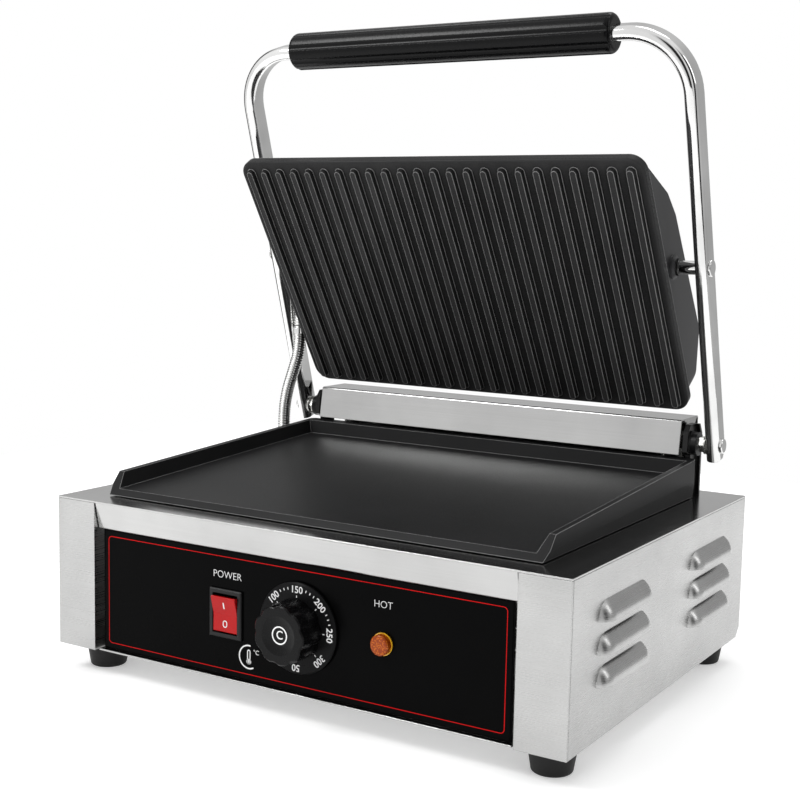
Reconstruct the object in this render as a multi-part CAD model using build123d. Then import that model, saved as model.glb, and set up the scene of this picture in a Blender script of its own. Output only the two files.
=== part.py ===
from build123d import *
import math
import os

# Panini press (contact grill). Millimetres, +Z up, the front faces -Y, +X is the user's right.
# The origin is the centre of the footprint on the surface that the feet stand on.
# It is drawn with the lid open, the way it stands when food is laid on the lower griddle.

# --- driving dimensions -------------------------------------------------------------------
BOX_W, BOX_D, BOX_H = 410.0, 315.0, 110.0      # stainless box, without feet
FOOT_H = 19.0                                  # feet below the box
SHEET = 1.2                                    # sheet thickness of the box
COLUMN_W = 35.0                                # folded front corner of a side panel
RAIL_H = 20.0                                  # sloping front rail of the deck
PANEL_SET_BACK = 6.0                           # control panel behind the front plane

BED_HALF_W = 177.5                             # lower griddle, outside of the flanges
BED_FRONT, BED_REAR = 21.5, 281.0              # from the front of the box
BED_FRONT_Z, BED_REAR_Z = 5.5, 19.5            # cooking surface above the deck, front and rear
BED_FLANGE_H = 10.5                            # flanges above the cooking surface
BED_FLANGE_T = 4.5

LID_W, LID_L, LID_T = 341.0, 215.0, 7.0        # upper griddle casting
RIB_COUNT, RIB_PITCH, RIB_H, RIB_BASE_W = 24, 14.0, 3.5, 7.4
HOUSING_DEPTH = 55.0                           # back of the upper housing behind the ribbed face
HOUSING_INSET = 5.0                            # its side walls inside the casting's edge
LID_TILT = 32.3                                # ribbed face leans forward from upright, degrees

ARM_LEAN = 17.5                                # arms lean forward from upright, degrees
ARM_X = 188.5                                  # centre line of each arm
ARM_W, ARM_D = 10.5, 17.0                      # D-section: across, and front to back
ARM_BEND_R = 44.0
HINGE_FROM_FRONT, HINGE_UP = 286.0, 151.0      # hinge axis in the box frame
HINGE_TO_PIVOT = 140.0                         # along the arm
HINGE_TO_GRIP = 308.5
PIVOT_UP_FACE, PIVOT_BEHIND_FACE = 110.5, 28.5 # pivot pin in the upper griddle's frame
PIN_R = 5.0
SHAFT_R = 5.0
RUN_FIT = 0.05                                 # radial clearance of turning fits

GRIP_L, GRIP_R, GRIP_FLUTES = 271.0, 14.2, 8
KNOB_X, KNOB_UP = 8.0, 46.0                    # control centres on the panel, above the box floor
SWITCH_X, SWITCH_UP = -53.0, 45.5
LAMP_X, LAMP_UP = 73.0, 46.5
SKIRT_R, KNOB_R, KNOB_L = 31.0, 20.5, 20.0
SWITCH_W, SWITCH_H = 27.5, 34.0
ROCKER_OFF_ANGLE = 7.0

HOSE_R = 5.25                                  # wiring conduit
GLAND_X, GLAND_UP = 120.0, 32.0                # mains cable gland in the rear panel
CORD_HOLE_R = 4.0


# --- frames and small helpers ---------------------------------------------------------------
def at(x, from_front, up):
    """A point given across, back from the box front and up from the box floor."""
    return Vector(x, from_front - BOX_D / 2, up + FOOT_H)


def leaning_plane(origin, lean_deg):
    """Local x is X, local y runs up along the lean, local z points out of the front face."""
    lean = math.radians(lean_deg)
    return Plane(origin=origin, x_dir=(1, 0, 0), z_dir=(0, -math.cos(lean), -math.sin(lean)))


def up_lean(lean_deg, length):
    lean = math.radians(lean_deg)
    return Vector(0, -length * math.sin(lean), length * math.cos(lean))


def back_lean(lean_deg, length):
    lean = math.radians(lean_deg)
    return Vector(0, length * math.cos(lean), length * math.sin(lean))


HINGE = at(0, HINGE_FROM_FRONT, HINGE_UP)
PIVOT = HINGE + up_lean(ARM_LEAN, HINGE_TO_PIVOT)
LID_ORIGIN = PIVOT - up_lean(LID_TILT, PIVOT_UP_FACE) - back_lean(LID_TILT, PIVOT_BEHIND_FACE)
ARM_PLANE = leaning_plane(HINGE, ARM_LEAN)
LID_PLANE = leaning_plane(LID_ORIGIN, LID_TILT)
SIDE_PLANE = Plane(origin=(0, 0, 0), x_dir=(0, 1, 0), z_dir=(1, 0, 0))   # local x is Y, y is Z


def block(x0, x1, front0, front1, up0, up1):
    """A box from its limits: across, back from the front, up from the box floor."""
    centre = at((x0 + x1) / 2, (front0 + front1) / 2, (up0 + up1) / 2)
    return Pos(*centre) * Box(x1 - x0, front1 - front0, up1 - up0)


def lid_block(x0, x1, y0, y1, depth0, depth1):
    """A box in the upper griddle's frame; depths run back from the ribbed face."""
    body = Pos((x0 + x1) / 2, (y0 + y1) / 2, -(depth0 + depth1) / 2)
    return LID_PLANE * body * Box(x1 - x0, y1 - y0, depth1 - depth0)


def rod_x(x0, x1, centre, radius):
    middle = Pos((x0 + x1) / 2, centre.Y, centre.Z)
    return middle * Rot(0, 90, 0) * Cylinder(radius, abs(x1 - x0))


def rod_y(x, front0, front1, up, radius):
    middle = at(x, (front0 + front1) / 2, up)
    return Pos(*middle) * Rot(90, 0, 0) * Cylinder(radius, abs(front1 - front0))


def rod_z(x, from_front, up0, up1, radius):
    middle = at(x, from_front, (up0 + up1) / 2)
    return Pos(*middle) * Cylinder(radius, abs(up1 - up0))


def side_profile(points):
    """A closed outline in the (from_front, up) plane."""
    placed = [(front - BOX_D / 2, up + FOOT_H) for front, up in points]
    return SIDE_PLANE * make_face(Polyline(*placed, close=True))


def prism_x(points, x0, x1):
    """A side outline run across the box from x0 to x1."""
    face = Pos(x0, 0, 0) * side_profile(points)
    return extrude(face, amount=x1 - x0, dir=(1, 0, 0))


def folded_sheet_x(points, thickness, bend_r, x0, x1):
    """A folded sheet whose bends run across the box."""
    placed = [(front - BOX_D / 2, up + FOOT_H) for front, up in points]
    strip = trace(FilletPolyline(*placed, radius=bend_r), line_width=thickness)
    return extrude(Pos(x0, 0, 0) * (SIDE_PLANE * strip), amount=x1 - x0, dir=(1, 0, 0))


def smooth_path(points):
    """Straight runs joined by tangent arcs, each as large as its two runs allow."""
    spots = [Vector(*p) for p in points]
    radii = []
    for before, corner, after in zip(spots, spots[1:], spots[2:]):
        turn = math.radians((corner - before).get_angle(after - corner))
        shorter = min((corner - before).length, (after - corner).length)
        radii.append(0.45 * shorter / math.tan(turn / 2))
    print("arc radii", [round(r, 1) for r in radii])
    return FilletPolyline(*spots, radius=radii)


def tube_along(path, radius):
    start = Plane(origin=path @ 0, z_dir=path % 0)
    tube = sweep(start * Circle(radius), path=path)
    exact = math.pi * radius ** 2 * path.length
    print("tube volume over section times length", round(tube.volume / exact, 4))
    return tube


def write(name, shape):
    solids = shape.solids() if hasattr(shape, "solids") else [shape]
    export_step(Compound(children=list(solids)) if len(solids) > 1 else solids[0],
                f"parts/{name}.step")
    print(name, "solids", len(solids), "volume", round(sum(s.volume for s in solids)))


def joined(shapes):
    """Several separate solids kept in one node."""
    return Compound(children=[solid for shape in shapes for solid in shape.solids()])


# --- stainless box --------------------------------------------------------------------------
LOUVRE_L, LOUVRE_R, LOUVRE_IN = 79.0, 14.5, 7.5      # length, pressing radius, axis inside sheet
LOUVRE_RISE = math.sqrt(LOUVRE_R ** 2 - LOUVRE_IN ** 2)
LOUVRE_STARTS = (39.5, 197.5)                         # front end of each row, from the box front
LOUVRE_FEET = (34.0, 54.5, 75.0)                      # open lower edge of each louvre
SEAM = 0.2                                            # visible seam between sheets


def louvre_capsule(front, up, radius):
    """The round-ended pressing tool of one louvre on the right side, above its lower edge."""
    straight = LOUVRE_L - 2 * LOUVRE_RISE
    middle = at(BOX_W / 2 - LOUVRE_IN, front + LOUVRE_L / 2, up)
    tool = Rot(90, 0, 0) * Cylinder(radius, straight)
    for end in (-1, 1):
        tool += Pos(0, end * straight / 2, 0) * Sphere(radius)
    upper_half = Pos(0, 0, radius) * Box(4 * radius, 2 * LOUVRE_L, 2 * radius)
    return Pos(*middle) * (tool & upper_half)


def side_panel():
    """The right side panel: side, folded front column, rear and bottom returns, louvres."""
    outer, inner = BOX_W / 2, BOX_W / 2 - SHEET
    top = BOX_H - SHEET - SEAM
    sheet = block(inner, outer, 0, BOX_D, 0, top)
    column = block(outer - COLUMN_W, outer, 0, SHEET, 0, top)
    column += block(outer - COLUMN_W, outer - COLUMN_W + SHEET, 0, 14, 0, top)
    rear_return = block(outer - 14, outer, BOX_D - 2 * SHEET - SEAM, BOX_D - SHEET - SEAM, 10, top)
    floor_return = block(outer - 14, outer, 16, BOX_D - 12, 0, SHEET)
    panel = sheet + column + rear_return + floor_return
    panel -= block(outer - 0.5, outer + 1, 1.5, 2.2, -1, top + 1)
    corner = 8.0
    cut = prism_x([(BOX_D - corner, -1), (BOX_D + 1, -1), (BOX_D + 1, corner)], inner - 1, outer + 1)
    panel -= cut
    outside = block(inner, outer + 2 * LOUVRE_R, 0, BOX_D, 0, BOX_H)
    for front in LOUVRE_STARTS:
        for up in LOUVRE_FEET:
            shell = louvre_capsule(front, up, LOUVRE_R) & outside
            hollow = louvre_capsule(front, up, LOUVRE_R - SHEET)
            panel = (panel + shell) - hollow
    return panel


def top_deck():
    """Deck sheet, open under the griddle, with the front rail folded down and back."""
    half = BOX_W / 2
    deck = block(-half, half, 1.4, BOX_D, BOX_H - SHEET, BOX_H)
    deck += block(-half, half, 0, 1.5, BOX_H - SHEET, BOX_H)
    deck -= block(-150, 150, 45, 258, BOX_H - 5, BOX_H + 5)
    rail = folded_sheet_x([(0.9, BOX_H - 0.6), (4.9, BOX_H - RAIL_H), (12.0, BOX_H - RAIL_H)],
                          SHEET, 1.2, -half + COLUMN_W + 0.8, half - COLUMN_W - 0.8)
    deck += rail
    deck -= rod_z(CONDUIT_X, CONDUIT_FRONT, BOX_H - 5, BOX_H + 5, 5.6)
    for x in (-1, 1):
        for front in GRIDDLE_STUD_FRONTS:
            deck -= rod_z(x * GRIDDLE_STUD_X, front, BOX_H - 5, BOX_H + 5, 3.2)
        for across, front in BRACKET_SCREW_SPOTS:
            deck -= rod_z(x * across, front, BOX_H - 5, BOX_H + 5, 2.2)
    return deck


def control_panel():
    half = BOX_W / 2 - COLUMN_W - SHEET
    front, back = PANEL_SET_BACK, PANEL_SET_BACK + SHEET
    panel = block(-half + 3, half - 3, front, back, 1.6, BOX_H - RAIL_H - 0.8)
    panel -= block(SWITCH_X - 12.2, SWITCH_X + 12.2, 0, 20, SWITCH_UP - 15.2, SWITCH_UP + 15.2)
    panel -= rod_y(KNOB_X, 0, 20, KNOB_UP, 5.2)
    panel -= rod_y(LAMP_X, 0, 20, LAMP_UP, 6.2)
    return panel


def panel_overlay():
    """Printed film stuck on the panel's front."""
    half = BOX_W / 2 - COLUMN_W - SHEET - 4
    film = block(-half, half, PANEL_SET_BACK - 0.4, PANEL_SET_BACK, 2.4, BOX_H - RAIL_H - 1.4)
    film -= block(SWITCH_X - 12.2, SWITCH_X + 12.2, 0, 20, SWITCH_UP - 15.2, SWITCH_UP + 15.2)
    film -= rod_y(KNOB_X, 0, 20, KNOB_UP, 5.2)
    film -= rod_y(LAMP_X, 0, 20, LAMP_UP, 6.2)
    return film


REAR_SCREW_SPOTS = [(x, up) for x in (-185, 0, 185) for up in (14, 94)]


def rear_panel():
    half = BOX_W / 2 - SHEET - SEAM
    panel = block(-half, half, BOX_D - SHEET, BOX_D, 10, BOX_H - SHEET - SEAM)
    for column in range(12):
        x = -100 + column * 10
        panel -= block(x, x + 4, BOX_D - 5, BOX_D + 5, 55, 80)
    panel -= rod_y(GLAND_X, BOX_D - 5, BOX_D + 5, GLAND_UP, 8.1)
    for x, up in REAR_SCREW_SPOTS:
        panel -= rod_y(x, BOX_D - 5, BOX_D + 5, up, 1.7)
    return panel


FOOT_SPOTS = {"front_left": (-183, 28), "front_right": (183, 28),
              "rear_left": (-183, 295), "rear_right": (183, 295)}


def bottom_plate():
    """Floor of the box, lapped over the side returns, with a sill under the control panel."""
    half = BOX_W / 2 - SHEET - SEAM
    plate = block(-half, half, 16.2, BOX_D - 2.8, SHEET + 0.1, 2 * SHEET + 0.1)
    plate += block(-half + COLUMN_W + 1, half - COLUMN_W - 1, 2.2, 17, 0.1, SHEET + 0.1)
    plate += block(-half + COLUMN_W + 1, half - COLUMN_W - 1, 16.2, 17.4, 0.1, 2 * SHEET + 0.1)
    for row in range(4):
        for slot in range(9):
            x = -120 + slot * 30
            plate -= block(x - 9, x + 9, 70 + row * 50, 74 + row * 50, 0, 6)
    for x, front in FOOT_SPOTS.values():
        plate -= rod_z(x, front, 0, 6, 2.2)
    return plate


def foot(x, front):
    """Tapered rubber foot with a recess for its screw."""
    body = Pos(*at(x, front, -FOOT_H / 2)) * Cone(13.0, 16.2, FOOT_H)
    body = fillet(body.edges().sort_by(Axis.Z)[0], 2.0)
    body -= rod_z(x, front, -FOOT_H - 1, -8, 5.5)
    body -= rod_z(x, front, -9, 1, 2.1)
    return body


def foot_screws():
    screws = []
    for x, front in FOOT_SPOTS.values():
        head = rod_z(x, front, -11, -8, 4.2)
        shank = rod_z(x, front, -8, 8, 2.0)
        nut = extrude(Pos(*at(x, front, 2 * SHEET + 0.1)) * RegularPolygon(3.8, 6), amount=3)
        screws.append(head + shank + nut)
    return joined(screws)


# --- lower griddle ----------------------------------------------------------------------------
DECK_GAP = 0.8
GRIDDLE_STUD_X, GRIDDLE_STUD_FRONTS = 160.0, (52.0, 250.0)
BED_ANGLE = math.degrees(math.atan((BED_REAR_Z - BED_FRONT_Z) / (BED_REAR - 9 - BED_FRONT - 5)))
BED_PLANE = Plane(origin=at(0, BED_FRONT + 5, BOX_H + BED_FRONT_Z),
                  x_dir=(1, 0, 0),
                  z_dir=(0, -math.sin(math.radians(BED_ANGLE)), math.cos(math.radians(BED_ANGLE))))
BED_FLOOR_T = 5.5
BED_DRAFT = 4.0                                # the flanges are this much thicker at the bed
DRAFT_ANGLE = math.degrees(math.atan(BED_DRAFT / BED_FLANGE_H))


def side_undercut(side, foot_z):
    """Sloping relief along the lower part of a side wall, higher at the rear."""
    outer = side * BED_HALF_W
    sections = []
    for front, step_up in ((BED_FRONT - 2, 6.5), (BED_REAR + 2, 13.0)):
        plane = Plane(origin=at(0, front, 0), x_dir=(1, 0, 0), z_dir=(0, -1, 0))
        corners = [(outer - side * 2.6, foot_z - 1), (outer + side * 2, foot_z - 1),
                   (outer + side * 2, foot_z + step_up), (outer, foot_z + step_up)]
        sections.append(plane * make_face(Polyline(*corners, close=True)))
    return loft(sections)


def lower_plate():
    """Cast griddle: level foot, bed sloping to the open front, flanges on the other sides."""
    foot_z = BOX_H + DECK_GAP
    front_top = BOX_H + BED_FRONT_Z + BED_FLANGE_H + 0.4
    rear_top = BOX_H + BED_REAR_Z + BED_FLANGE_H + 0.3
    outline = [(BED_FRONT, foot_z), (BED_REAR, foot_z), (BED_REAR - 0.8, rear_top),
               (BED_FRONT + 13, front_top)]
    body = prism_x(outline, -BED_HALF_W, BED_HALF_W)
    rear_corners = body.edges().filter_by(lambda e: abs(e.center().X) > BED_HALF_W - 0.1
                                          and e.center().Y > at(0, BED_REAR - 2, 0).Y
                                          and abs(e.tangent_at(0.5).Z) > 0.9)
    body = fillet(rear_corners, 6.0)
    for side in (-1, 1):
        body -= side_undercut(side, foot_z)
    inner = BED_HALF_W - BED_FLANGE_T
    length = BED_REAR - 9 - BED_FRONT
    rise = 14.0
    mouth = Rectangle(2 * inner + 2 * BED_DRAFT * (rise / BED_FLANGE_H - 1), length + 30)
    tray = BED_PLANE * Pos(0, length / 2 - 20, rise) * extrude(mouth, amount=-rise, taper=DRAFT_ANGLE)
    body -= tray
    pocket = BED_PLANE * Pos(0, 122, -BED_FLOOR_T - 15) * Box(2 * 152, 200, 30)
    body -= pocket
    for x in (-1, 1):
        for front in GRIDDLE_STUD_FRONTS:
            boss_top = foot_z + 3.0
            body -= rod_z(x * GRIDDLE_STUD_X, front, foot_z - 1, boss_top, 3.05)
    return body


def griddle_studs():
    """Studs screwed up into the casting, with their nuts under the deck."""
    studs = []
    for x in (-1, 1):
        for front in GRIDDLE_STUD_FRONTS:
            stud = rod_z(x * GRIDDLE_STUD_X, front, BOX_H - 12, BOX_H + DECK_GAP + 2.9, 3.0)
            washer = rod_z(x * GRIDDLE_STUD_X, front, BOX_H, BOX_H + DECK_GAP - 0.02, 6.0)
            nut_at = Pos(*at(x * GRIDDLE_STUD_X, front, BOX_H - SHEET - 5.1))
            nut = extrude(nut_at * RegularPolygon(5.5, 6), amount=5)
            studs.append(stud + washer + nut)
    return joined(studs)


def serpentine(half_w, y0, y1, legs):
    """Corner points of a back-and-forth element with both ends on the y0 side."""
    step = 2 * half_w / (legs - 1)
    points = []
    for leg in range(legs):
        x = -half_w + leg * step
        ends = (y0, y1) if leg % 2 == 0 else (y1, y0)
        points += [(x, ends[0]), (x, ends[1])]
    return points, step


def element_tube(plane, half_w, y0, y1, legs, radius):
    """Tubular heating element lying in a plane, with two terminal pins turned out of it."""
    points, step = serpentine(half_w, y0, y1, legs)
    path = plane * FilletPolyline(*points, radius=0.49 * step)
    start = Plane(origin=path @ 0, z_dir=path % 0)
    return sweep(start * Circle(radius), path=path)


LOWER_ELEMENT_PLANE = BED_PLANE * Plane(origin=(0, 0, -BED_FLOOR_T - 4.0))
LID_ELEMENT_DEPTH = LID_T + 3.9


def lower_element():
    return element_tube(LOWER_ELEMENT_PLANE, 120, 36, 206, 6, 3.4)


def lower_element_clamp():
    """Pressed plate that holds the lower element up against the casting."""
    plate = BED_PLANE * Pos(0, 122, -BED_FLOOR_T - 8.4) * Box(270, 150, SHEET)
    for x in (-72, 0, 72):
        plate -= BED_PLANE * Pos(x, 122, -BED_FLOOR_T - 8.4) * Cylinder(12, 10)
    return plate


def lower_heat_shield():
    """Open pan hung under the deck opening."""
    pan = block(-152, 152, 40, 262, BOX_H - 24, BOX_H - SHEET - 0.1)
    pan -= block(-151, 151, 41, 261, BOX_H - 23, BOX_H)
    pan -= block(128, 149, 50, 80, BOX_H - 30, BOX_H - 20)
    pan -= block(-150, -118, 225, 255, BOX_H - 30, BOX_H - 20)
    return pan


# --- hinge, springs and rear cover --------------------------------------------------------------
BRACKET_X, BRACKET_T = 169.0, 4.0
BRACKET_SCREW_SPOTS = ((153.0, 292.0), (162.0, 292.0))
BUSH_R, BUSH_FLANGE_R = 7.5, 9.0
COVER_HALF_W = 165.0
COVER_TOP = 169.0


def hinge_bracket(side):
    """Black bracket: an ear that carries the bushing, on a foot screwed to the deck."""
    ear = [(283, BOX_H + 0.1), (299, BOX_H + 0.1), (299, 158), (294, 165.5),
           (281, 165.5), (276.5, 160), (275, 145), (283, 142.5)]
    low, high = sorted((side * (BRACKET_X - BRACKET_T / 2), side * (BRACKET_X + BRACKET_T / 2)))
    body = prism_x(ear, low, high)
    slot = prism_x([(279, 161), (279, 143), (285, 143), (285, 161)],
                   *sorted((side * (BRACKET_X + 1.0), side * (BRACKET_X + 3))))
    body -= fillet(slot.edges().filter_by(Axis.X), 2.5)
    body += prism_x([(299, BOX_H + 0.1), (299, 158), (294, 165.5), (291.5, 165.5), (296.5, 157),
                     (296.5, BOX_H + 0.1)], *sorted((side * BRACKET_X, side * (BRACKET_X + 5))))
    foot_low, foot_high = sorted((side * (BRACKET_X - 20.5), side * BRACKET_X))
    body += block(foot_low, foot_high, 284, 299, BOX_H + 0.1, BOX_H + 3.1)
    body += rod_x(*sorted((side * (BRACKET_X - 2), side * (BRACKET_X + 3.2))), HINGE, BUSH_R + 1.8)
    body -= rod_x(*sorted((side * 160, side * 180)), HINGE, BUSH_R + 0.02)
    for across, front in BRACKET_SCREW_SPOTS:
        body -= rod_z(side * across, front, BOX_H - 1, BOX_H + 6, 2.05)
    return body


def bracket_screws():
    screws = []
    for side in (-1, 1):
        for across, front in BRACKET_SCREW_SPOTS:
            x = side * across
            head = rod_z(x, front, BOX_H + 3.1, BOX_H + 5.3, 3.4)
            shank = rod_z(x, front, BOX_H - 9, BOX_H + 3.1, 2.0)
            screws.append(head + shank)
    return joined(screws)


def hinge_bushing(side):
    """Flanged sleeve in the bracket; the shaft turns in it."""
    sleeve = rod_x(*sorted((side * (BRACKET_X - 3.5), side * (BRACKET_X + 3.2))), HINGE, BUSH_R)
    flange = rod_x(*sorted((side * (BRACKET_X + 3.25), side * (BRACKET_X + 7.5))),
                   HINGE, BUSH_FLANGE_R)
    neck = rod_x(*sorted((side * (BRACKET_X + 3), side * (BRACKET_X + 3.5))), HINGE, BUSH_R)
    bore = rod_x(*sorted((side * 150, side * 190)), HINGE, SHAFT_R + RUN_FIT)
    return sleeve + neck + flange - bore


SQUARE_END = 8.0


def hinge_shaft():
    """Round shaft across the press with squared ends that carry the arms."""
    inner = ARM_X - ARM_W / 2 - 0.6
    shaft = rod_x(-inner, inner, HINGE, SHAFT_R)
    square = ARM_PLANE * Box(2 * ARM_X + ARM_W - 0.6, SQUARE_END, SQUARE_END)
    round_bar = rod_x(-ARM_X - ARM_W, ARM_X + ARM_W, HINGE, SHAFT_R)
    shaft += square & round_bar
    for side in (-1, 1):
        ends = sorted((side * (ARM_X - 14), side * (ARM_X + ARM_W)))
        shaft -= rod_x(*ends, HINGE, 3.02)
        washer_spot = sorted((side * (ARM_X - ARM_W / 2 - 1.6), side * (ARM_X - ARM_W / 2 - 0.3)))
        shaft += rod_x(*washer_spot, HINGE, 7.5) - rod_x(*washer_spot, HINGE, 4.0)
        nut_start = side * (ARM_X - ARM_W / 2 - 5.4)
        nut_plane = Plane(origin=(nut_start, HINGE.Y, HINGE.Z), x_dir=(0, 1, 0), z_dir=(side, 0, 0))
        shaft += nut_plane * (extrude(RegularPolygon(6.4, 6), amount=3.6) - Cylinder(4.0, 20))
    return shaft


def hinge_bolts():
    """Flat-headed bolts in the ends of the shaft."""
    face = ARM_X + ARM_W / 2
    bolts = []
    for side in (-1, 1):
        head = rod_x(*sorted((side * (face + 0.02), side * (face + 2.2))), HINGE, 5.6)
        rim = head.edges().sort_by(Axis.X)[-1 if side > 0 else 0]
        head = fillet(rim, 0.9)
        shank = rod_x(*sorted((side * (ARM_X - 12), side * (face + 0.5))), HINGE, 3.0)
        bolts.append(head + shank)
    return joined(bolts)


SPRING_WIRE_R, SPRING_MEAN_R, SPRING_TURNS = 1.3, 6.9, 11


def counterbalance_spring():
    """Right torsion spring round the shaft; its outer leg stands on the deck."""
    pitch = 3.0
    length = pitch * SPRING_TURNS
    helix = Helix(pitch=pitch, height=length, radius=SPRING_MEAN_R)
    frame = Plane(origin=(112.0, HINGE.Y, HINGE.Z), x_dir=(0, 1, 0), z_dir=(1, 0, 0))
    wire = frame * helix
    section = Plane(origin=wire @ 0, z_dir=wire % 0) * Circle(SPRING_WIRE_R)
    coil = sweep(section, path=wire)
    end = wire @ 1
    leg_low = at(0, 0, BOX_H + 0.3).Z
    leg_high = end.Z + 0.8
    leg = Cylinder(SPRING_WIRE_R, leg_high - leg_low)
    return coil + Pos(end.X, end.Y, (leg_high + leg_low) / 2) * leg


def rear_cover():
    """Folded cover: leaning front, flat top, back, and a foot on the deck, with end lips."""
    sheet = folded_sheet_x([(273.9, 142.8), (277.9, COVER_TOP - 0.5), (313.0, COVER_TOP - 0.5),
                            (313.0, BOX_H + 0.7), (302.0, BOX_H + 0.7)],
                           1.0, 1.4, -COVER_HALF_W, COVER_HALF_W)
    lip = [(283, COVER_TOP - 0.4), (311, COVER_TOP - 0.4), (306, COVER_TOP - 7),
           (289, COVER_TOP - 7)]
    for side in (-1, 1):
        sheet += prism_x(lip, *sorted((side * (COVER_HALF_W - 1.0), side * COVER_HALF_W)))
    for x in COVER_SCREW_X:
        sheet -= rod_z(x, 306.5, BOX_H - 1, BOX_H + 5, 1.8)
    return sheet


COVER_SCREW_X = (-120, 0, 120)


def cover_screws():
    screws = []
    for x in COVER_SCREW_X:
        head = rod_z(x, 306.5, BOX_H + 1.25, BOX_H + 3.0, 3.0)
        shank = rod_z(x, 306.5, BOX_H + 0.1, BOX_H + 1.3, 1.7)
        screws.append(head + shank)
    return joined(screws)


def rear_panel_screws():
    screws = []
    for x, up in REAR_SCREW_SPOTS:
        head = rod_y(x, BOX_D + 0.05, BOX_D + 1.7, up, 3.0)
        outer_rim = head.edges().sort_by(Axis.Y)[-1]
        head = fillet(outer_rim, 0.8)
        screws.append(head + rod_y(x, BOX_D - SHEET, BOX_D + 0.4, up, 1.6))
    return joined(screws)


# --- handle and arms ------------------------------------------------------------------------------
def d_profile(plane, clearance=0.0):
    """The tube's section: half round to the front, flat behind. Local y points to the front."""
    w, d = ARM_W + 2 * clearance, ARM_D + 2 * clearance
    straight = d - w / 2
    front = Pos(0, d / 2 - w / 2) * Circle(w / 2)
    back = Pos(0, -d / 2 + straight / 2) * Rectangle(w, straight)
    section = front + back
    corners = section.vertices().sort_by(Axis.Y)[:2]
    return plane * fillet(corners, 1.5)


def handle_tube():
    """One tube: up the left arm, across through the grip and down the right arm."""
    tail = 10.5
    path = ARM_PLANE * FilletPolyline(
        (-ARM_X, -tail), (-ARM_X, HINGE_TO_GRIP), (ARM_X, HINGE_TO_GRIP), (ARM_X, -tail),
        radius=ARM_BEND_R)
    start = Plane(origin=path @ 0, x_dir=(-1, 0, 0), z_dir=path % 0)
    tube = sweep(d_profile(start), path=path)
    tube -= ARM_PLANE * Box(2 * ARM_X + 2 * ARM_W, SQUARE_END + 0.06, SQUARE_END + 0.06)
    corner = 7.0
    cutter = ARM_PLANE * Pos(0, -tail, -ARM_D / 2) * Rot(45, 0, 0)
    tube -= cutter * Box(3 * ARM_X, corner * math.sqrt(2), corner * math.sqrt(2))
    tube -= rod_x(-2 * ARM_X, 2 * ARM_X, PIVOT, PIN_R + 0.02)
    return tube


def handle_grip():
    """Fluted sleeve on the cross bar, rounded at both ends."""
    axis = ARM_PLANE * Pos(0, HINGE_TO_GRIP, 0)
    sleeve = axis * Rot(0, 90, 0) * Cylinder(GRIP_R, GRIP_L)
    sleeve = fillet(sleeve.edges().filter_by(GeomType.CIRCLE), 4.0)
    for flute in range(GRIP_FLUTES):
        angle = 360 * (flute + 0.5) / GRIP_FLUTES
        groove = Rot(angle, 0, 0) * Pos(0, GRIP_R + 2.2, 0) * Rot(0, 90, 0) * Cylinder(3.4, GRIP_L + 2)
        sleeve -= axis * groove
    bore_plane = Plane(origin=axis.position - Vector(GRIP_L, 0, 0),
                       x_dir=tuple(ARM_PLANE.y_dir), z_dir=(1, 0, 0))
    bore = extrude(d_profile(bore_plane, 0.15), amount=2 * GRIP_L)
    return sleeve - bore


PIN_INNER_END = 148.0
RING_X = 170.2


def pivot_pin(side):
    """Pin riveted through the arm; its inner end carries the upper griddle."""
    face = ARM_X + ARM_W / 2
    pin = rod_x(*sorted((side * PIN_INNER_END, side * (face + 0.5))), PIVOT, PIN_R)
    head = rod_x(*sorted((side * (face + 0.02), side * (face + 1.6))), PIVOT, 6.2)
    rim = head.edges().sort_by(Axis.X)[-1 if side > 0 else 0]
    pin += fillet(rim, 1.0)
    groove = rod_x(*sorted((side * (RING_X - 0.6), side * (RING_X + 0.6))), PIVOT, PIN_R + 1)
    groove -= rod_x(*sorted((side * (RING_X - 1), side * (RING_X + 1))), PIVOT, PIN_R - 0.6)
    return pin - groove


def pivot_rings():
    """Retaining rings in the grooves of the pivot pins."""
    rings = []
    for side in (-1, 1):
        ends = sorted((side * (RING_X - 0.55), side * (RING_X + 0.55)))
        ring = rod_x(*ends, PIVOT, PIN_R + 1.6) - rod_x(*ends, PIVOT, PIN_R - 0.5)
        rings.append(ring)
    return joined(rings)


# --- upper griddle ----------------------------------------------------------------------------------
def rounded_slab(width, height, thickness, corner_r):
    return extrude(Pos(0, height / 2) * RectangleRounded(width, height, corner_r), amount=-thickness)


def upper_plate():
    """Ribbed casting: 24 tapered ribs with round ends on a flat face."""
    slab = rounded_slab(LID_W, LID_L, LID_T, 12.0)
    slab = fillet(slab.faces().sort_by(Axis.Z)[-1].edges(), 1.6)
    rib_low, rib_high = 4.0, LID_L - 6.0
    ribs = []
    for index in range(RIB_COUNT):
        x = (index - (RIB_COUNT - 1) / 2) * RIB_PITCH
        outline = Pos(x, (rib_low + rib_high) / 2, -0.5) * SlotOverall(
            rib_high - rib_low, RIB_BASE_W, rotation=90)
        ribs.append(extrude(outline, amount=RIB_H + 0.5, taper=18))
    body = slab + ribs
    for x, y in HOUSING_SCREW_SPOTS:
        body -= Pos(x, y, -LID_T + 2) * Cylinder(2.05, 4.1)
    return LID_PLANE * body


HOUSING_SCREW_SPOTS = [(x, y) for x in (-140, 140) for y in (50, 128)]


def housing_outline(inset):
    """Section of the upper housing: local x up the face, local y back from it."""
    back = HOUSING_DEPTH - inset
    return [(1.5 + inset, LID_T + 0.05), (LID_L - 1.5 - 1.4 * inset, LID_T + 0.05),
            (164.0 - 0.7 * inset, 42.0 - 0.6 * inset), (142.0 - 0.4 * inset, back - 6.0),
            (38.0 + 0.6 * inset, back), (8.0 + inset, 33.0 + 0.2 * inset)]


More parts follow.
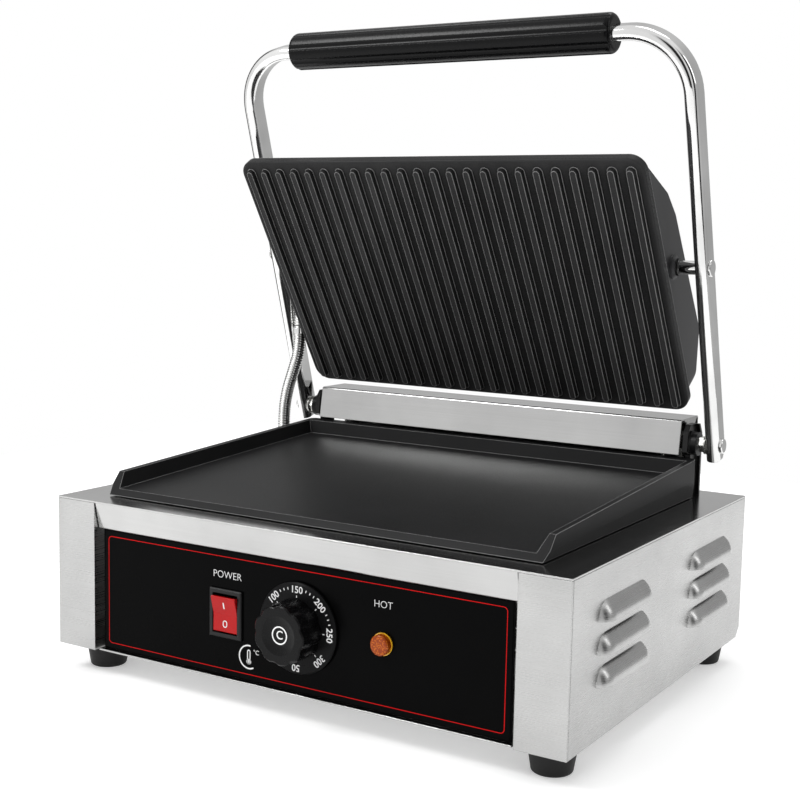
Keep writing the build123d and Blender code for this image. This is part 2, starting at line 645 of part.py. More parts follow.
def housing_solid(half_w, inset, bend_r):
    """The housing's section run across, with its corners rounded like the casting's."""
    section_plane = Plane(origin=(-half_w, 0, 0), x_dir=(0, 1, 0), z_dir=(-1, 0, 0))
    face = make_face(Polyline(*housing_outline(inset), close=True))
    back_corners = face.vertices().sort_by(Axis.Y)[2:]
    run = extrude(section_plane * fillet(back_corners, bend_r), amount=-2 * half_w)
    rounded = Pos(0, LID_L / 2) * RectangleRounded(2 * half_w, LID_L - 3 - inset, 11.0 - inset)
    return run & extrude(rounded, amount=-2 * HOUSING_DEPTH)


def upper_housing():
    """Cover behind the ribbed casting, with the bosses that the pivot pins sit in."""
    outer_half = LID_W / 2 - HOUSING_INSET
    shell = housing_solid(outer_half, 0.0, 9.0)
    shell -= Pos(0, 0, 0.2) * housing_solid(outer_half - 2.5, 2.5, 6.5)
    pivot_at = (PIVOT_UP_FACE, -PIVOT_BEHIND_FACE)
    for side in (-1, 1):
        boss = Pos(side * 157.5, *pivot_at) * Rot(0, 90, 0) * Cylinder(9.0, 19)
        cone_length = 4.0
        cone_at = side * (outer_half + cone_length / 2 - 0.4)
        cone = Pos(cone_at, *pivot_at) * Rot(0, side * 90, 0) * Cone(9.5, 6.6, cone_length)
        bore = Pos(side * 160, *pivot_at) * Rot(0, 90, 0) * Cylinder(PIN_R + RUN_FIT, 60)
        shell = shell + boss + cone - bore
    inside = housing_solid(outer_half - 1.0, 1.0, 7.0)
    for x, y in HOUSING_SCREW_SPOTS:
        post = Pos(x, y, -(LID_T + 24)) * Cylinder(5.0, 47.8)
        shell += post & inside
        shell -= Pos(x, y, -30) * Cylinder(2.2, 80)
    shell -= Pos(HOSE_X, HOSE_UP_FACE, -HOUSING_DEPTH) * Cylinder(5.6, 16)
    return LID_PLANE * shell


def housing_screws():
    screws = []
    for x, y in HOUSING_SCREW_SPOTS:
        depth = housing_back_depth(y)
        head = Pos(x, y, -(depth + 1.35)) * Cylinder(4.0, 2.0)
        shank = Pos(x, y, -(depth + LID_T - 3.0) / 2) * Cylinder(2.0, depth - LID_T + 4.0)
        screws.append(LID_PLANE * (head + shank))
    return joined(screws)


def housing_back_depth(y):
    """Depth of the housing's back face at a height up the ribbed face."""
    (y1, d1), (y0, d0) = housing_outline(0)[3:5]
    return d0 + (d1 - d0) * (y - y0) / (y1 - y0)


def upper_element():
    plane = LID_PLANE * Plane(origin=(0, 0, -LID_ELEMENT_DEPTH))
    return element_tube(plane, 120, 30, 185, 6, 3.4)


def upper_element_clamp():
    depth = LID_ELEMENT_DEPTH + 4.2
    plate = lid_block(-135, 135, 50, 170, depth, depth + SHEET)
    for x in (-72, 0, 72):
        plate -= LID_PLANE * Pos(x, 110, -depth) * Cylinder(12, 10)
    return plate


# --- wiring conduit -----------------------------------------------------------------------------------
CONDUIT_X, CONDUIT_FRONT = -192.0, 258.0
HOSE_X, HOSE_UP_FACE = -138.0, 66.0
GAP_X = -176.9                                   # between the griddle's edge and the arm
LOWER_RUN = [(CONDUIT_X, CONDUIT_FRONT, 119), (CONDUIT_X - 0.4, 257.2, 141), (-189.6, 257.6, 164),
             (-183.0, 258.6, 184), (GAP_X - 0.3, 259.4, 203), (GAP_X, 258.6, 223)]


def lower_run_points():
    return [tuple(at(*point)) for point in LOWER_RUN]


def lid_point(x, up_face, depth):
    spot = LID_ORIGIN + up_lean(LID_TILT, up_face) + back_lean(LID_TILT, depth)
    return (x, spot.Y, spot.Z)


def upper_run_points():
    """From the clip, round behind the housing and into its back."""
    entry = housing_back_depth(HOSE_UP_FACE) + 13.0
    below, end = (Vector(*point) for point in lower_run_points()[-2:])
    along = (end - below).normalized()
    return [tuple(end + along * 0.3), tuple(end + along * 17), tuple(at(GAP_X, 272.0, 256)),
            lid_point(-174.6, 71.0, 70), lid_point(-160.5, 69.0, 84), lid_point(-144.0, 66.6, 81),
            lid_point(HOSE_X, HOSE_UP_FACE, entry)]


def conduit_lower():
    return tube_along(smooth_path(lower_run_points()), HOSE_R)


def conduit_upper():
    return tube_along(smooth_path(upper_run_points()), HOSE_R)


def gland(radius, bore_r):
    """A gland standing on z = 0: hexagon, dome nut, thread and lock nut below the sheet."""
    body = extrude(RegularPolygon(radius + 1.2, 6), amount=4)
    body += Pos(0, 0, 7) * Cylinder(radius, 6)
    body = fillet(body.faces().sort_by(Axis.Z)[-1].edges(), 1.0)
    return body - Pos(0, 0, 5) * Cylinder(bore_r, 40)


def conduit_gland_lower():
    seat = at(CONDUIT_X, CONDUIT_FRONT, BOX_H + 0.05)
    body = gland(8.0, HOSE_R + 0.1)
    stem = Pos(0, 0, -4) * (Cylinder(5.5, 9) - Cylinder(4.2, 9))
    return Pos(*seat) * (body + stem)


def conduit_gland_upper():
    depth = housing_back_depth(HOSE_UP_FACE)
    body = Pos(HOSE_X, HOSE_UP_FACE, -depth - 1.2) * Rot(180, 0, 0) * gland(8.0, HOSE_R + 0.1)
    return LID_PLANE * body


def conduit_clip():
    """Clip ring on the inside of the left arm, round the conduit."""
    below, end = (Vector(*point) for point in lower_run_points()[-2:])
    along = (end - below).normalized()
    ring = Cylinder(HOSE_R + 0.6, 5) - Cylinder(HOSE_R + 0.12, 9)
    clip = Plane(origin=end - along * 4, z_dir=along) * ring
    strap_in = -(ARM_X - ARM_W / 2) + 0.02
    strap = block(strap_in, GAP_X - HOSE_R - 0.3, 256.5, 261.5, 216.5, 221.5)
    return clip + strap


# --- controls -----------------------------------------------------------------------------------------
def switch_housing():
    """Rocker switch body with its snap-in bezel."""
    face = PANEL_SET_BACK - 0.4
    body = block(SWITCH_X - SWITCH_W / 2, SWITCH_X + SWITCH_W / 2, face - 2.2, face,
                 SWITCH_UP - SWITCH_H / 2, SWITCH_UP + SWITCH_H / 2)
    rim = body.faces().sort_by(Axis.Y)[0].edges()
    body = chamfer(rim, 0.8)
    body += block(SWITCH_X - 12, SWITCH_X + 12, face - 1, face + 24, SWITCH_UP - 15, SWITCH_UP + 15)
    body -= block(SWITCH_X - 10.6, SWITCH_X + 10.6, face - 3, face + 14,
                  SWITCH_UP - 13.9, SWITCH_UP + 13.9)
    for dz in (-8, 0, 8):
        body += block(SWITCH_X - 3, SWITCH_X + 3, face + 24, face + 33,
                      SWITCH_UP + dz - 0.4, SWITCH_UP + dz + 0.4)
    return body


ROCKER_AXIS_BEHIND = 2.0                        # rocker axis behind the bezel's foot


def switch_rocker():
    """Saddle-shaped rocker, drawn with its lower half pressed in."""
    axis_front = PANEL_SET_BACK - 0.4 + ROCKER_AXIS_BEHIND
    half, reach = 13.2, 5.6
    tip = reach * 0.96
    outline = [(-tip, half), (-reach + 2.0, 0), (-tip, -half), (1.0, -half + 2.2), (4.5, -3),
               (4.5, 3), (1.0, half - 2.2)]
    section = SIDE_PLANE * make_face(Polyline(*outline, close=True))
    rocker = extrude(Pos(SWITCH_X - 10.2, 0, 0) * section, amount=20.4, dir=(1, 0, 0))
    front_edges = rocker.edges().filter_by(Axis.X).sort_by(Axis.Y)[:3]
    rocker = fillet([e for e in front_edges if abs(e.center().Z) > 5], 1.0)
    rocker += Pos(SWITCH_X, 0, 0) * Rot(0, 90, 0) * Cylinder(1.6, 20.8)
    seat = at(0, axis_front, SWITCH_UP)
    return Pos(0, seat.Y, seat.Z) * Rot(ROCKER_OFF_ANGLE, 0, 0) * rocker


def lobed_outline(radius, lobes, depth):
    """Round outline with shallow scallops between its lobes."""
    points = []
    steps = lobes * 12
    for step in range(steps):
        angle = 2 * math.pi * step / steps
        r = radius - depth * (0.5 - 0.5 * math.cos(lobes * angle)) ** 2
        points.append((r * math.cos(angle), r * math.sin(angle)))
    return make_face(Spline(*points, periodic=True))


def knob_frame(from_front):
    """Local z points out of the panel."""
    spot = at(KNOB_X, from_front, KNOB_UP)
    return Plane(origin=spot, x_dir=(1, 0, 0), z_dir=(0, -1, 0))


SKIRT_BACK = PANEL_SET_BACK - 0.4 - 0.9


def dial_skirt():
    """Numbered disc behind the knob."""
    frame = knob_frame(SKIRT_BACK)
    disc = Pos(0, 0, 1.3) * Cylinder(SKIRT_R, 2.6)
    disc = chamfer(disc.edges().sort_by(Axis.Z)[-1], 1.2)
    disc -= Cylinder(3.02, 20)
    return frame * disc


def thermostat_knob():
    """Scalloped knob with a dished front."""
    frame = knob_frame(SKIRT_BACK - 2.65)
    back = lobed_outline(KNOB_R, 9, 1.3)
    front = lobed_outline(KNOB_R - 0.7, 9, 1.3)
    body = loft([back, Pos(0, 0, KNOB_L) * front])
    body = chamfer(body.faces().sort_by(Axis.Z)[-1].edges(), 0.8)
    dish_r = 40.0
    body -= Pos(0, 0, KNOB_L + dish_r - 2.2) * Sphere(dish_r)
    body -= Cylinder(3.02, 30)
    return frame * body


def thermostat_shaft():
    frame = knob_frame(SKIRT_BACK + 20)
    return frame * Pos(0, 0, 16.5) * Cylinder(3.0, 33)


def thermostat_body():
    """Capillary thermostat on the back of the panel."""
    back = PANEL_SET_BACK + SHEET
    body = block(KNOB_X - 20, KNOB_X + 20, back + 4, back + 32, KNOB_UP - 17, KNOB_UP + 17)
    body += block(KNOB_X - 18, KNOB_X + 18, back + 0.05, back + 4.5, KNOB_UP - 7, KNOB_UP + 7)
    body -= rod_y(KNOB_X, back - 5, back + 28, KNOB_UP, 3.0 + RUN_FIT)
    for dx in (-14, 0, 14):
        body += block(KNOB_X + dx - 3, KNOB_X + dx + 3, back + 32, back + 41, KNOB_UP - 0.4, KNOB_UP + 0.4)
    return body


def thermostat_capillary():
    """Bulb under the griddle's floor and its thin tube down to the thermostat."""
    back = PANEL_SET_BACK + SHEET
    bulb_line = [tuple(at(143.5, 92, BOX_H + 0.9)), tuple(at(143.5, 68, BOX_H - 0.6)),
                 tuple(at(140, 64, BOX_H - 27)), tuple(at(80, 56, BOX_H - 38)),
                 tuple(at(KNOB_X + 9, back + 22, KNOB_UP + 18.3))]
    tube = tube_along(smooth_path(bulb_line), 1.0)
    bulb_axis = Plane(origin=bulb_line[0], z_dir=(0, 1, 0.059))
    bulb = bulb_axis * Pos(0, 0, 30) * Cylinder(2.2, 60)
    return tube + bulb


def lamp_body():
    """Snap-in lamp holder behind the lens."""
    face = PANEL_SET_BACK - 0.4
    body = rod_y(LAMP_X, face - 0.6, face - 0.02, LAMP_UP, 7.5)
    body += rod_y(LAMP_X, face - 0.3, face + 26, LAMP_UP, 6.0)
    for dz in (-3, 3):
        body += block(LAMP_X - 2, LAMP_X + 2, face + 26, face + 34, LAMP_UP + dz - 0.4, LAMP_UP + dz + 0.4)
    return body


def lamp_lens():
    """Amber lens: a short barrel with a domed front."""
    face = PANEL_SET_BACK - 0.4 - 0.65
    frame = Plane(origin=at(LAMP_X, face, LAMP_UP), x_dir=(1, 0, 0), z_dir=(0, -1, 0))
    barrel = Pos(0, 0, 2.2) * Cylinder(6.9, 4.4)
    barrel = fillet(barrel.edges().sort_by(Axis.Z)[-1], 1.6)
    return frame * barrel


def terminal_block():
    block_body = block(GLAND_X - 24, GLAND_X + 24, 262, 282, 2.6, 22)
    for step in range(4):
        x = GLAND_X - 18 + 12 * step
        block_body -= rod_y(x, 255, 290, 9, 2.2)
        block_body -= rod_z(x, 272, 12, 25, 2.6)
    return block_body


def cable_gland():
    """Mains cable gland in the rear panel, empty."""
    frame = Plane(origin=at(GLAND_X, BOX_D + 0.05, GLAND_UP), x_dir=(1, 0, 0), z_dir=(0, 1, 0))
    body = extrude(RegularPolygon(11.5, 6), amount=5)
    body += Pos(0, 0, 9) * Cylinder(9.2, 9)
    body += Pos(0, 0, 15.2) * Cone(8.8, 6.8, 5)
    body += Pos(0, 0, -5) * Cylinder(8.0, 11)
    body += Pos(0, 0, -4.3) * extrude(RegularPolygon(11.0, 6), amount=2.6)
    body -= Cylinder(CORD_HOLE_R, 80)
    return frame * body


WIRE_R = 1.6


def internal_wiring():
    """Sleeved lead bundles between the terminal block, the controls and the elements."""
    panel_back = PANEL_SET_BACK + SHEET
    supply = [(GLAND_X - 18, 250, 9), (GLAND_X - 22, 225, 10), (60, 150, 12), (-40, 80, 20),
              (SWITCH_X, 52, 38), (SWITCH_X, 44.6, SWITCH_UP - 12)]
    feed = [(SWITCH_X + 16, 48, 62), (SWITCH_X + 22, 62, 66), (-12, 60, 66),
            (KNOB_X - 14, 56, 56), (KNOB_X - 14, panel_back + 43, KNOB_UP + 2.4)]
    lamp = [(LAMP_X, 46, LAMP_UP + 6), (LAMP_X - 6, 60, LAMP_UP + 10), (44, 66, 52),
            (KNOB_X + 16, 62, KNOB_UP + 6), (KNOB_X + 14, panel_back + 43.5, KNOB_UP + 2.4)]
    lid_lead = [(CONDUIT_X, CONDUIT_FRONT, BOX_H - 9.5), (CONDUIT_X + 1, 256, 80), (-175, 250, 40),
                (-120, 235, 14), (20, 240, 9), (80, 246, 7), (GLAND_X - 6, 254, 9)]
    runs = [supply, feed, lamp, lid_lead]
    return joined([tube_along(smooth_path([tuple(at(*p)) for p in run]), WIRE_R) for run in runs])


# --- write every sub-part ---------------------------------------------------------------------------------
def main():
    os.makedirs("parts", exist_ok=True)
    right_side = side_panel()
    write("side_panel_right", right_side)
    write("side_panel_left", mirror(right_side, about=Plane.YZ))
    write("top_deck", top_deck())
    write("control_panel", control_panel())
    write("panel_overlay", panel_overlay())
    write("rear_panel", rear_panel())
    write("bottom_plate", bottom_plate())
    for name, (x, front) in FOOT_SPOTS.items():
        write(f"foot_{name}", foot(x, front))
    write("foot_screws", foot_screws())

    write("lower_plate", lower_plate())
    write("griddle_studs", griddle_studs())
    write("lower_element", lower_element())
    write("lower_element_clamp", lower_element_clamp())
    write("lower_heat_shield", lower_heat_shield())

    for name, side in (("left", -1), ("right", 1)):
        write(f"hinge_bracket_{name}", hinge_bracket(side))
        write(f"hinge_bushing_{name}", hinge_bushing(side))
        write(f"pivot_pin_{name}", pivot_pin(side))
    spring = counterbalance_spring()
    write("counterbalance_spring_right", spring)
    write("counterbalance_spring_left", mirror(spring, about=Plane.YZ))
    write("bracket_screws", bracket_screws())
    write("hinge_shaft", hinge_shaft())
    write("hinge_bolts", hinge_bolts())
    write("rear_cover", rear_cover())
    write("cover_screws", cover_screws())
    write("rear_panel_screws", rear_panel_screws())

    write("handle_tube", handle_tube())
    write("handle_grip", handle_grip())
    write("pivot_rings", pivot_rings())

    write("upper_plate", upper_plate())
    write("upper_housing", upper_housing())
    write("housing_screws", housing_screws())
    write("upper_element", upper_element())
    write("upper_element_clamp", upper_element_clamp())

    write("conduit_lower", conduit_lower())
    write("conduit_upper", conduit_upper())
    write("conduit_clip", conduit_clip())
    write("conduit_gland_lower", conduit_gland_lower())
    write("conduit_gland_upper", conduit_gland_upper())

    write("switch_housing", switch_housing())
    write("switch_rocker", switch_rocker())
    write("dial_skirt", dial_skirt())
    write("thermostat_knob", thermostat_knob())
    write("thermostat_shaft", thermostat_shaft())
    write("thermostat_body", thermostat_body())
    write("thermostat_capillary", thermostat_capillary())
    write("lamp_body", lamp_body())
    write("lamp_lens", lamp_lens())
    write("terminal_block", terminal_block())
    write("cable_gland", cable_gland())
    write("internal_wiring", internal_wiring())


main()
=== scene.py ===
import math

import bmesh
import bpy
from mathutils import Matrix, Vector


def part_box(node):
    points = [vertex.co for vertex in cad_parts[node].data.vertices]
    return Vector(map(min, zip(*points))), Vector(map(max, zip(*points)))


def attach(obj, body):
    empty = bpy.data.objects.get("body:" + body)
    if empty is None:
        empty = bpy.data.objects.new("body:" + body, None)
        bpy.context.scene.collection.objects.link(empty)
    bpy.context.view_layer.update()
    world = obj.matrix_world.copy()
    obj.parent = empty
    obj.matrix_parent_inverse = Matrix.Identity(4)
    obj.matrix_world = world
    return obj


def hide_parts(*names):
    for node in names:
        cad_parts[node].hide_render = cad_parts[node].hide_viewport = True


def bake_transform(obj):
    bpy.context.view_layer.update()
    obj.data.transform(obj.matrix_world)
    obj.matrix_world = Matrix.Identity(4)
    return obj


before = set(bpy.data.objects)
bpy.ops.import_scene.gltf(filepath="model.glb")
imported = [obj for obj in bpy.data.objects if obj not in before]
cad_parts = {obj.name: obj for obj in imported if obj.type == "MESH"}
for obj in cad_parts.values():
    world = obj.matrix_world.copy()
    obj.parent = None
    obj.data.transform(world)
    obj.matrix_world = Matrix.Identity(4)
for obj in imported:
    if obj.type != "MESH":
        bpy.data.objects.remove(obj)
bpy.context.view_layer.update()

# --- camera: stands to the front right, a little above the press, slightly rolled ------------
CAMERA_SPOT = Vector((0.5256, -0.8723, 0.3272))
AZIMUTH, ELEVATION, ROLL = math.radians(31.61), math.radians(7.07), math.radians(1.17)
LENS_MM, SENSOR_MM = 62.2, 36.0


def add_camera():
    back = Vector((math.sin(AZIMUTH) * math.cos(ELEVATION),
                   -math.cos(AZIMUTH) * math.cos(ELEVATION), math.sin(ELEVATION)))
    right = (-back).cross(Vector((0, 0, 1))).normalized()
    up = right.cross(-back)
    c, s = math.cos(ROLL), math.sin(ROLL)
    turned_right, turned_up = c * right + s * up, c * up - s * right
    data = bpy.data.cameras.new("camera")
    data.lens, data.sensor_width = LENS_MM, SENSOR_MM
    camera = bpy.data.objects.new("camera", data)
    rotation = Matrix((turned_right, turned_up, back)).transposed().to_4x4()
    camera.matrix_world = Matrix.Translation(CAMERA_SPOT) @ rotation
    bpy.context.collection.objects.link(camera)
    bpy.context.scene.camera = camera


# --- material helpers -----------------------------------------------------------------------
def new_material(name, color, metallic=0.0, rough=0.5, **sockets):
    """Principled material; an underscore in a socket's keyword stands for a space."""
    material = bpy.data.materials.new(name)
    material.use_nodes = True
    shader = material.node_tree.nodes["Principled BSDF"]
    shader.inputs["Base Color"].default_value = (*color, 1)
    shader.inputs["Metallic"].default_value = metallic
    shader.inputs["Roughness"].default_value = rough
    for socket, value in sockets.items():
        shader.inputs[socket.replace("_", " ")].default_value = value
    return material


def add_node(material, kind, **settings):
    """New shader node; each setting goes to the input of that name, or else to the attribute."""
    node = material.node_tree.nodes.new(kind)
    for key, value in settings.items():
        if key in node.inputs:
            node.inputs[key].default_value = value
        else:
            setattr(node, key, value)
    return node


def link(material, out, into):
    material.node_tree.links.new(out, into)


def shader_of(material):
    return material.node_tree.nodes["Principled BSDF"]


def noise(material, scale, stretch=(1, 1, 1), detail=4.0, roughness=0.6):
    """Noise in object space; stretch scales each axis."""
    coords = add_node(material, "ShaderNodeTexCoord")
    mapping = add_node(material, "ShaderNodeMapping")
    mapping.inputs["Scale"].default_value = stretch
    texture = add_node(material, "ShaderNodeTexNoise", Scale=scale, Detail=detail,
                       Roughness=roughness)
    link(material, coords.outputs["Object"], mapping.inputs["Vector"])
    link(material, mapping.outputs["Vector"], texture.inputs["Vector"])
    return texture.outputs["Fac"]


def spread(material, value, low, high, from_low=0.3, from_high=0.7):
    """Value mapped linearly from its own range to low..high, clamped."""
    ramp = add_node(material, "ShaderNodeMapRange")
    ramp.inputs["From Min"].default_value = from_low
    ramp.inputs["From Max"].default_value = from_high
    ramp.inputs["To Min"].default_value = low
    ramp.inputs["To Max"].default_value = high
    link(material, value, ramp.inputs["Value"])
    return ramp.outputs["Result"]


def tint(material, value, dark, light, low=0.3, high=0.7):
    """Base colour that runs from dark to light with the value."""
    ramp = add_node(material, "ShaderNodeValToRGB")
    ramp.color_ramp.elements[0].position, ramp.color_ramp.elements[1].position = low, high
    ramp.color_ramp.elements[0].color = (*dark, 1)
    ramp.color_ramp.elements[1].color = (*light, 1)
    link(material, value, ramp.inputs["Fac"])
    link(material, ramp.outputs["Color"], shader_of(material).inputs["Base Color"])
    return ramp.outputs["Color"]


def rough_from(material, value, low, high):
    link(material, spread(material, value, low, high), shader_of(material).inputs["Roughness"])


def bump(material, value, strength, distance, edge=0.0):
    """Bump from the value, over edges softened by the given radius if there is one."""
    node = add_node(material, "ShaderNodeBump")
    node.inputs["Strength"].default_value = strength
    node.inputs["Distance"].default_value = distance
    link(material, value, node.inputs["Height"])
    if edge:
        bevel = add_node(material, "ShaderNodeBevel", samples=4)
        bevel.inputs["Radius"].default_value = edge
        link(material, bevel.outputs["Normal"], node.inputs["Normal"])
    link(material, node.outputs["Normal"], shader_of(material).inputs["Normal"])


# --- materials --------------------------------------------------------------------------------
def brushed(name, stretch, dark, light, rough, relief=0.05):
    """Brushed sheet: long fine grain lines over broad soft cloudiness."""
    material = new_material(name, light, 1.0, rough)
    grain = noise(material, 1.0, stretch, 5.0, 0.7)
    cloud = noise(material, 11.0, detail=3.0)
    mix = add_node(material, "ShaderNodeMath", operation="ADD")
    link(material, spread(material, grain, 0.0, 0.30), mix.inputs[0])
    link(material, spread(material, cloud, 0.0, 0.70), mix.inputs[1])
    tint(material, mix.outputs[0], dark, light, 0.1, 0.9)
    rough_from(material, grain, rough - 0.03, rough + 0.05)
    bump(material, grain, relief, 0.0002, 0.0006)
    return material


def edge_mask(material, width):
    """Value of one along the object's edges and zero on its open faces."""
    bevel = add_node(material, "ShaderNodeBevel", samples=6)
    bevel.inputs["Radius"].default_value = width
    true_normal = add_node(material, "ShaderNodeNewGeometry")
    dot = add_node(material, "ShaderNodeVectorMath", operation="DOT_PRODUCT")
    link(material, bevel.outputs["Normal"], dot.inputs[0])
    link(material, true_normal.outputs["Normal"], dot.inputs[1])
    return spread(material, dot.outputs["Value"], 1.0, 0.0, 0.86, 0.985)


def paint_edge_highlight(material, width, color, start_color):
    """Edges lightened towards the colour as a painted highlight."""
    mix = add_node(material, "ShaderNodeMixRGB")
    link(material, edge_mask(material, width), mix.inputs["Fac"])
    link(material, start_color, mix.inputs["Color1"])
    mix.inputs["Color2"].default_value = (*color, 1)
    link(material, mix.outputs["Color"], shader_of(material).inputs["Base Color"])


def paint_corner_shade(material, color, reach):
    """The colour, darkened in inside corners as painted shade."""
    corners = add_node(material, "ShaderNodeAmbientOcclusion", samples=8)
    corners.inputs["Distance"].default_value = reach
    mix = add_node(material, "ShaderNodeMixRGB", blend_type="MULTIPLY")
    mix.inputs["Fac"].default_value = 1.0
    link(material, color, mix.inputs["Color1"])
    clear = spread(material, corners.outputs["AO"], 0.04, 1.0, 0.60, 0.97)
    link(material, clear, mix.inputs["Color2"])
    return mix.outputs["Color"]


def speckled(name, color, rough, grain_scale, bump_height, metallic=0.0, edge=0.0006, edge_highlight=None,
             shade_reach=0.0, **sockets):
    """Moulded, cast or painted surface with a fine grain and a slight colour change.

    edge is the softening radius of its edges, edge_highlight the width and colour of the painted
    highlight along its edges, and shade_reach how far the painted shade of an inside corner spreads.
    """
    material = new_material(name, color, metallic, rough, **sockets)
    fine = noise(material, grain_scale)
    broad = noise(material, 14.0, detail=3.0)
    darker, lighter = tuple(c * 0.82 for c in color), tuple(min(1, c * 1.15) for c in color)
    shade = tint(material, broad, darker, lighter)
    # painted shade: inside corners darkened by ambient occlusion
    if shade_reach:
        shade = paint_corner_shade(material, shade, shade_reach)
    # painted highlight: the edges lightened towards a light grey
    if edge_highlight:
        paint_edge_highlight(material, *edge_highlight, shade)
    rough_from(material, fine, rough - 0.05, rough + 0.06)
    bump(material, fine, 0.25, bump_height, edge)
    return material


STEEL_SHEET = brushed("brushed_across", (6, 900, 900), (0.44, 0.44, 0.437), (0.53, 0.53, 0.525),
                      0.17, 0.02)
STEEL_SIDE = brushed("brushed_side", (10, 10, 1500), (0.40, 0.40, 0.397), (0.51, 0.51, 0.505),
                     0.27, 0.012)
CHROME = speckled("chrome", (0.76, 0.76, 0.755), 0.06, 60.0, 0.00001, 1.0, 0.0005)
PLATED = speckled("plated", (0.55, 0.55, 0.53), 0.26, 900.0, 0.00005, 1.0, 0.0003)
# the light grey along the edges of both cast plates is a painted highlight
CAST = speckled("cast_griddle", (0.015, 0.015, 0.0155), 0.40, 1600.0, 0.00005, 0.0, 0.0010,
                (0.0008, (0.42, 0.42, 0.42)), Specular_IOR_Level=0.08)
# the ribs' inside corners are darkened as painted shade
CAST_RIBS = speckled("cast_ribs", (0.034, 0.034, 0.0345), 0.28, 1400.0, 0.00002, 0.0, 0.0007,
                     (0.0009, (0.50, 0.50, 0.50)), 0.007, Specular_IOR_Level=0.06)
HOUSING = speckled("housing_enamel", (0.030, 0.030, 0.032), 0.40, 1100.0, 0.00006, 0.0, 0.0012,
                   Specular_IOR_Level=0.35)
BLACK_PAINT = speckled("black_paint", (0.007, 0.007, 0.007), 0.30, 1000.0, 0.00004,
                       Specular_IOR_Level=0.3)
BLACK_PLASTIC = speckled("black_plastic", (0.006, 0.006, 0.0065), 0.30, 1200.0, 0.00003,
                         Specular_IOR_Level=0.25)
PANEL_FILM = speckled("panel_film", (0.0014, 0.0014, 0.0015), 0.24, 1500.0, 0.00001, 0.0, 0.0003,
                      Specular_IOR_Level=0.03)
RUBBER = speckled("rubber", (0.005, 0.005, 0.005), 0.55, 900.0, 0.0001, Specular_IOR_Level=0.3)
PHENOLIC = speckled("phenolic", (0.003, 0.003, 0.0033), 0.24, 700.0, 0.00002, 0.0, 0.0006,
                    Specular_IOR_Level=0.14)
SKIRT = speckled("dial_film", (0.005, 0.005, 0.0053), 0.30, 1400.0, 0.00002, 0.0, 0.0004,
                 Specular_IOR_Level=0.08)
RED = speckled("red_rocker", (0.46, 0.002, 0.003), 0.20, 400.0, 0.00001, 0.0, 0.0006,
               Specular_IOR_Level=0.2, Coat_Weight=0.05)
SHEATH = speckled("element_sheath", (0.10, 0.11, 0.10), 0.5, 500.0, 0.00006, 0.8)
COPPER = speckled("copper", (0.60, 0.30, 0.18), 0.3, 500.0, 0.00003, 1.0)
SLEEVING = speckled("sleeving", (0.72, 0.69, 0.62), 0.8, 2600.0, 0.0002)
PRINT_WHITE = speckled("print_white", (0.82, 0.82, 0.82), 0.5, 900.0, 0.00001, 0.0, 0.0)
PRINT_RED = speckled("print_red", (0.60, 0.002, 0.002), 0.45, 900.0, 0.00001, 0.0, 0.0,
                     Specular_IOR_Level=0.1)
HOSE = speckled("hose_metal", (0.62, 0.62, 0.61), 0.16, 500.0, 0.00002, 1.0, 0.0)
# bright yellow lamp rim: the lamp's amber, lightened as a painted highlight
LENS_RIM = speckled("lens_rim", (0.92, 0.50, 0.02), 0.25, 300.0, 0.00001, 0.0, 0.0,
                    Coat_Weight=0.4)


def amber_lens():
    """Amber plastic with a pebbled inside seen through its gloss."""
    material = new_material("amber_lens", (0.60, 0.13, 0.004), 0.0, 0.22, Specular_IOR_Level=0.25)
    coords = add_node(material, "ShaderNodeTexCoord")
    cells = add_node(material, "ShaderNodeTexVoronoi", Scale=850.0)
    link(material, coords.outputs["Object"], cells.inputs["Vector"])
    pebbles = cells.outputs["Distance"]
    tint(material, pebbles, (0.62, 0.15, 0.006), (0.26, 0.035, 0.001), 0.1, 0.6)
    bump(material, pebbles, 0.3, 0.0003)
    return material


AMBER = amber_lens()

NODE_MATERIALS = {
    "top_deck": STEEL_SHEET, "rear_cover": STEEL_SHEET, "rear_panel": STEEL_SHEET,
    "bottom_plate": STEEL_SHEET, "side_panel_left": STEEL_SIDE, "side_panel_right": STEEL_SIDE,
    "control_panel": PANEL_FILM, "panel_overlay": PANEL_FILM, "lower_plate": CAST,
    "upper_plate": CAST_RIBS, "upper_housing": HOUSING, "handle_tube": CHROME,
    "handle_grip": PHENOLIC, "hinge_bolts": CHROME, "pivot_pin_left": CHROME,
    "pivot_pin_right": CHROME, "pivot_rings": BLACK_PAINT, "hinge_bracket_left": BLACK_PAINT,
    "hinge_bracket_right": BLACK_PAINT, "hinge_bushing_left": BLACK_PLASTIC,
    "hinge_bushing_right": BLACK_PLASTIC, "thermostat_knob": PHENOLIC, "dial_skirt": SKIRT,
    "switch_housing": BLACK_PLASTIC, "switch_rocker": RED, "lamp_lens": AMBER,
    "lamp_body": LENS_RIM, "lower_element": SHEATH, "upper_element": SHEATH,
    "thermostat_capillary": COPPER, "internal_wiring": SLEEVING, "terminal_block": BLACK_PLASTIC,
    "cable_gland": BLACK_PLASTIC, "thermostat_body": BLACK_PLASTIC,
    "conduit_clip": CHROME, "foot_screws": PLATED,
}


def dress_nodes():
    """Feet are rubber, and every other node that the table leaves out is plated hardware."""
    for name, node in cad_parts.items():
        material = NODE_MATERIALS.get(name, RUBBER if name.startswith("foot_") else PLATED)
        for slot in node.material_slots:
            slot.material = material


# --- mesh helpers ---------------------------------------------------------------------------------
def piece(name, mesh, material, body):
    """Scene object in one material; it rides the body when one is given."""
    obj = bpy.data.objects.new(name, mesh)
    bpy.context.collection.objects.link(obj)
    mesh.materials.clear()
    mesh.materials.append(material)
    if body:
        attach(obj, body)
    return obj


def mesh_from(name, build):
    """Mesh of what build(bm) makes."""
    mesh = bpy.data.meshes.new(name)
    bm = bmesh.new()
    build(bm)
    bmesh.ops.recalc_face_normals(bm, faces=bm.faces)
    bm.to_mesh(mesh)
    bm.free()
    return mesh


